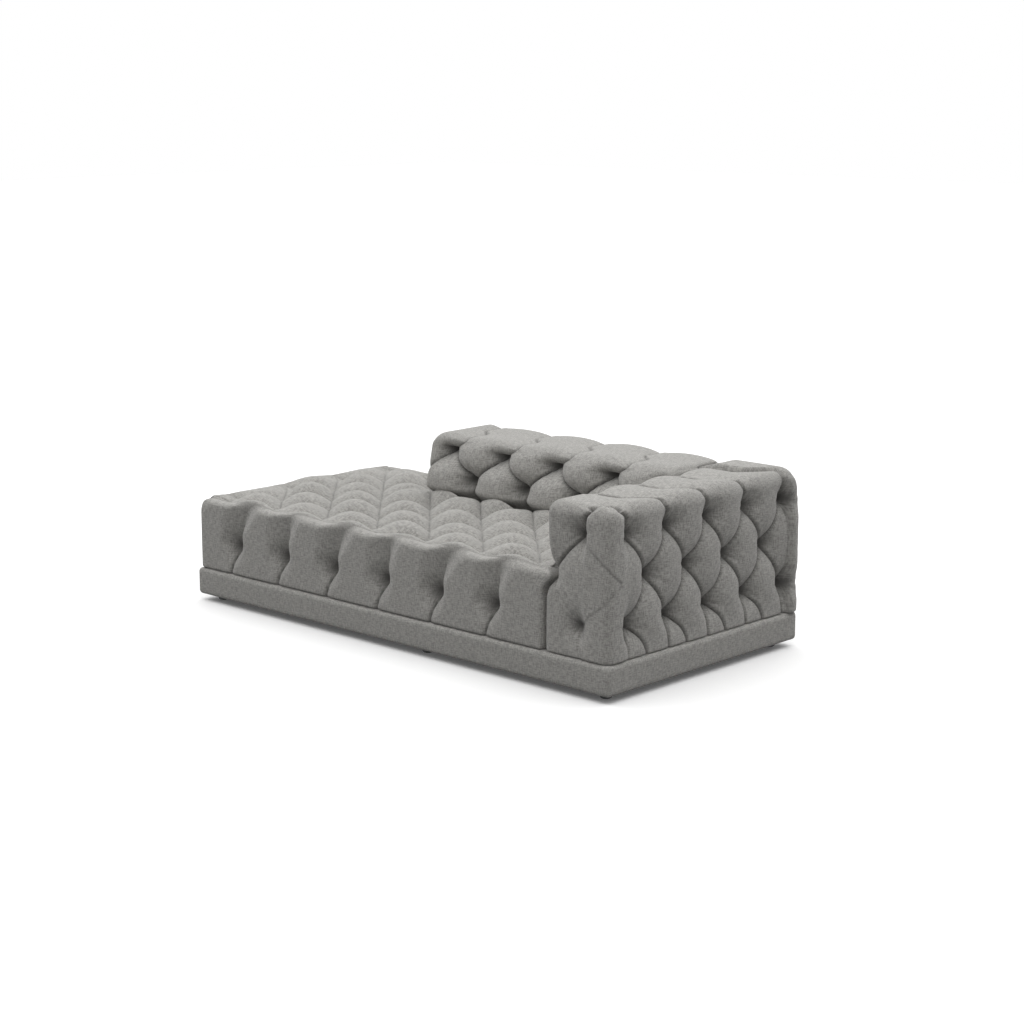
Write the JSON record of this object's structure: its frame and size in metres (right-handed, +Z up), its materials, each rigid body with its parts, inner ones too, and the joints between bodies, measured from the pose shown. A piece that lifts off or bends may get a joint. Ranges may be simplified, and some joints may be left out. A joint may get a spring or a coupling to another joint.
{
  "type": "chaise longue",
  "caption": "Low upholstered chaise longue: a deep-tufted L-shaped seat with one full-depth arm and a part-length back on a covered plinth.",
  "frame": {"origin": "on the floor, under the middle of the bounding box", "axes": "+X along the length towards the arm, +Y to the back, +Z up"},
  "size_m": [2.1, 1.03, 0.6503],
  "materials": {
    "cover_fabric": "heathered grey woven upholstery cloth over wadding and soft foam",
    "timber": "planed softwood",
    "plywood": "sanded plywood",
    "foam": "open-cell polyurethane foam",
    "webbing": "woven elastic webbing",
    "dust_cloth": "black non-woven cloth",
    "nylon": "moulded nylon",
    "steel": "zinc plated"
  },
  "bodies": {
    "root": {"seat_pad": "cover_fabric", "arm_pad": "cover_fabric", "back_pad": "cover_fabric", "plinth_cover": "cover_fabric", "plinth_front_rail": "timber", "plinth_rear_rail": "timber", "plinth_left_rail": "timber", "plinth_right_rail": "timber", "plinth_cross_rail_1": "timber", "plinth_cross_rail_2": "timber", "plinth_cross_rail_3": "timber", "corner_block_1": "timber", "corner_block_2": "timber", "corner_block_3": "timber", "corner_block_4": "timber", "seat_front_rail": "timber", "seat_left_rail": "timber", "seat_rear_rail": "timber", "seat_step_rail": "timber", "seat_inner_rail": "timber", "seat_right_rail": "timber", "arm_bottom_rail": "timber", "arm_top_rail": "timber", "arm_post_1": "timber", "arm_post_2": "timber", "arm_post_3": "timber", "back_bottom_rail": "timber", "back_top_rail": "timber", "back_post_1": "timber", "back_post_2": "timber", "back_post_3": "timber", "deck_panel": "plywood", "arm_inner_panel": "plywood", "arm_outer_panel": "plywood", "back_front_panel": "plywood", "back_rear_panel": "plywood", "seat_foam": "foam", "webbing_strap_1": "webbing", "webbing_strap_2": "webbing", "webbing_strap_3": "webbing", "webbing_strap_4": "webbing", "webbing_strap_5": "webbing", "webbing_strap_6": "webbing", "webbing_strap_7": "webbing", "dust_cover": "dust_cloth", "glide_1": "nylon", "glide_2": "nylon", "glide_3": "nylon", "glide_4": "nylon", "glide_5": "nylon", "glide_6": "nylon", "frame_bolt_1": "steel", "frame_bolt_2": "steel", "frame_bolt_3": "steel", "frame_bolt_4": "steel"}
  },
  "joints": []
}
